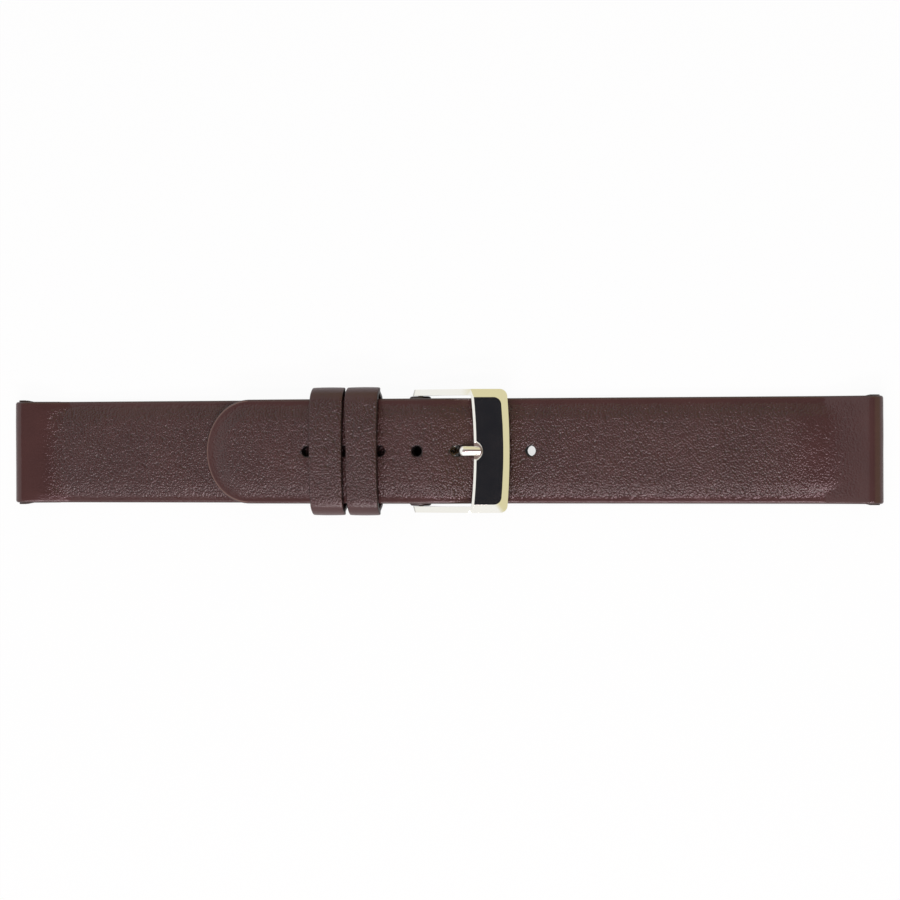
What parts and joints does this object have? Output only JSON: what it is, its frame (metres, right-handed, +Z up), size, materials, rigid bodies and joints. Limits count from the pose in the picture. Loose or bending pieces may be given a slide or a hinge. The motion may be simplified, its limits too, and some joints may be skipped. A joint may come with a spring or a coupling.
{
  "type": "leather watch strap",
  "caption": "Two-piece padded leather watch strap with a sprung pin buckle, a fixed keeper, a sliding keeper and a row of adjustment holes, shown buckled and lying flat.",
  "frame": {"origin": "on the surface the strap lies on, under the middle of its whole length and width", "axes": "+X along the strap towards the lug end of the holed piece, +Z up off the surface, +Y across the strap"},
  "size_m": [0.152, 0.022, 0.0071],
  "materials": {
    "face_leather": "fine grain, dark brown, satin",
    "lining_leather": "smooth tan lining, matt",
    "filler": "felted pad, hidden",
    "tape": "woven reinforcing tape",
    "polished_steel": "mirror polished, bevelled edges",
    "pin_steel": "drawn and turned",
    "spring_steel": "drawn wire"
  },
  "bodies": {
    "short_strap": {"short_upper": "face_leather", "short_lining": "lining_leather", "short_filler": "filler", "short_lug_tape": "tape", "buckle_loop_tape": "tape", "fixed_keeper_skin": "face_leather", "fixed_keeper_lining": "lining_leather", "bar_barrel": "pin_steel", "bar_spring": "spring_steel"},
    "long_strap": {"long_upper": "face_leather", "long_lining": "lining_leather", "long_filler": "filler", "long_lug_tape": "tape"},
    "free_keeper": {"free_keeper_skin": "face_leather", "free_keeper_lining": "lining_leather"},
    "frame": {"buckle_frame": "polished_steel"},
    "tongue": {"buckle_tongue": "polished_steel"},
    "plunger_near": {"bar_plunger_near": "pin_steel"},
    "plunger_far": {"bar_plunger_far": "pin_steel"}
  },
  "joints": [
    {"name": "strap_draw", "type": "slide", "parent": "short_strap", "child": "long_strap", "axis": [1, 0, 0], "range_m": [0, 0.0565], "deforming": ["long_upper", "long_lining", "long_filler", "long_lug_tape"]},
    {"name": "tongue_swing", "type": "hinge", "parent": "short_strap", "child": "tongue", "pos_m": [-0.00253, 0, 0.00195], "axis": [0, -1, 0], "range_deg": [0, 78]},
    {"name": "frame_swing", "type": "hinge", "parent": "short_strap", "child": "frame", "pos_m": [-0.00253, 0, 0.00195], "axis": [0, -1, 0], "range_deg": [0, 38]},
    {"name": "free_keeper_slide", "type": "slide", "parent": "short_strap", "child": "free_keeper", "axis": [-0.9998, 0, -0.0216], "range_m": [0, 0.045]},
    {"name": "plunger_near_push", "type": "slide", "parent": "short_strap", "child": "plunger_near", "axis": [0, 1, 0], "range_m": [0, 0.00075], "stiffness_N_per_m": 1500, "springref_m": -0.0005, "deforming": ["bar_spring"]},
    {"name": "plunger_far_push", "type": "slide", "parent": "short_strap", "child": "plunger_far", "axis": [0, -1, 0], "range_m": [0, 0.00075], "stiffness_N_per_m": 1500, "springref_m": -0.0005, "deforming": ["bar_spring"]}
  ],
  "couplings": [
    {"joint": "tongue_swing", "follows": "strap_draw", "rad_per_m": 24.092},
    {"joint": "frame_swing", "follows": "strap_draw", "rad_per_m": 11.737}
  ]
}
